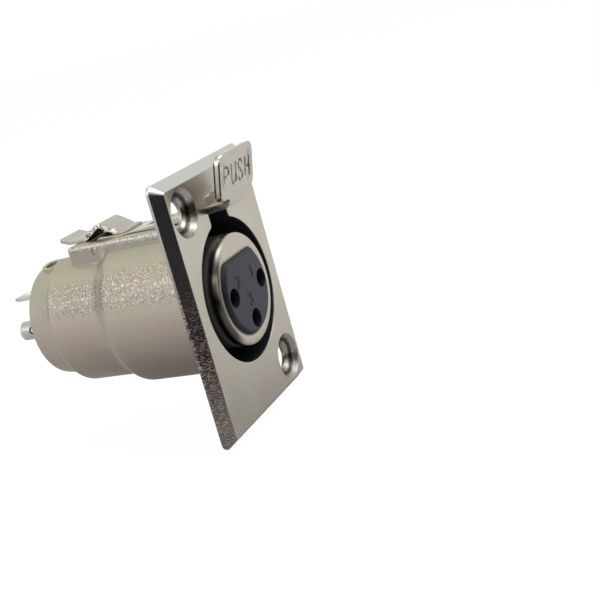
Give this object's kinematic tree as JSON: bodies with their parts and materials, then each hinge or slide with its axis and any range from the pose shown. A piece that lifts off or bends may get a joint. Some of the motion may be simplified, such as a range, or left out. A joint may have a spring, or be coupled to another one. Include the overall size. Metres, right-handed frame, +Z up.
{
  "type": "xlr panel socket",
  "caption": "Female panel socket: rectangular flange, stepped barrel, D-shaped contact insert and a push-to-release latch tab.",
  "frame": {"origin": "on the socket's axis, in the flange's rear seating face, which is the centre of the screw pattern", "axes": "+X to the right seen from the front, +Y into the panel along the barrel, +Z up to the latch tab"},
  "size_m": [0.027, 0.0424, 0.0377],
  "materials": {
    "cast_nickel": "nickel plate on a zinc casting, satin and grainy on the barrel, polished on the flange",
    "latch_nickel": "polished nickel plate on sheet steel",
    "spring_nickel": "nickel plate on spring steel",
    "insert_plastic": "dark blue-grey moulding, semi-matt",
    "rear_plastic": "dark blue-grey moulding, matt",
    "contact_plate": "plated turned brass",
    "tag_plate": "tinned sheet",
    "screw_steel": "plated steel",
    "pin_steel": "steel"
  },
  "bodies": {
    "socket": {"housing": "cast_nickel", "front_insert": "insert_plastic", "rear_insert": "rear_plastic", "contact_1": "contact_plate", "contact_2": "contact_plate", "contact_3": "contact_plate", "ground_tag": "tag_plate", "set_screw": "screw_steel", "latch_pin": "pin_steel", "latch_spring": "spring_nickel"},
    "latch": {"latch_lever": "latch_nickel"}
  },
  "joints": [
    {"name": "latch_hinge", "type": "hinge", "parent": "socket", "child": "latch", "pos_m": [0, 0.0157, 0.01], "axis": [-1, 0, 0], "range_deg": [0, 4], "stiffness_Nm_per_rad": 0.25, "springref_deg": -6.88, "deforming": ["latch_spring"]}
  ]
}
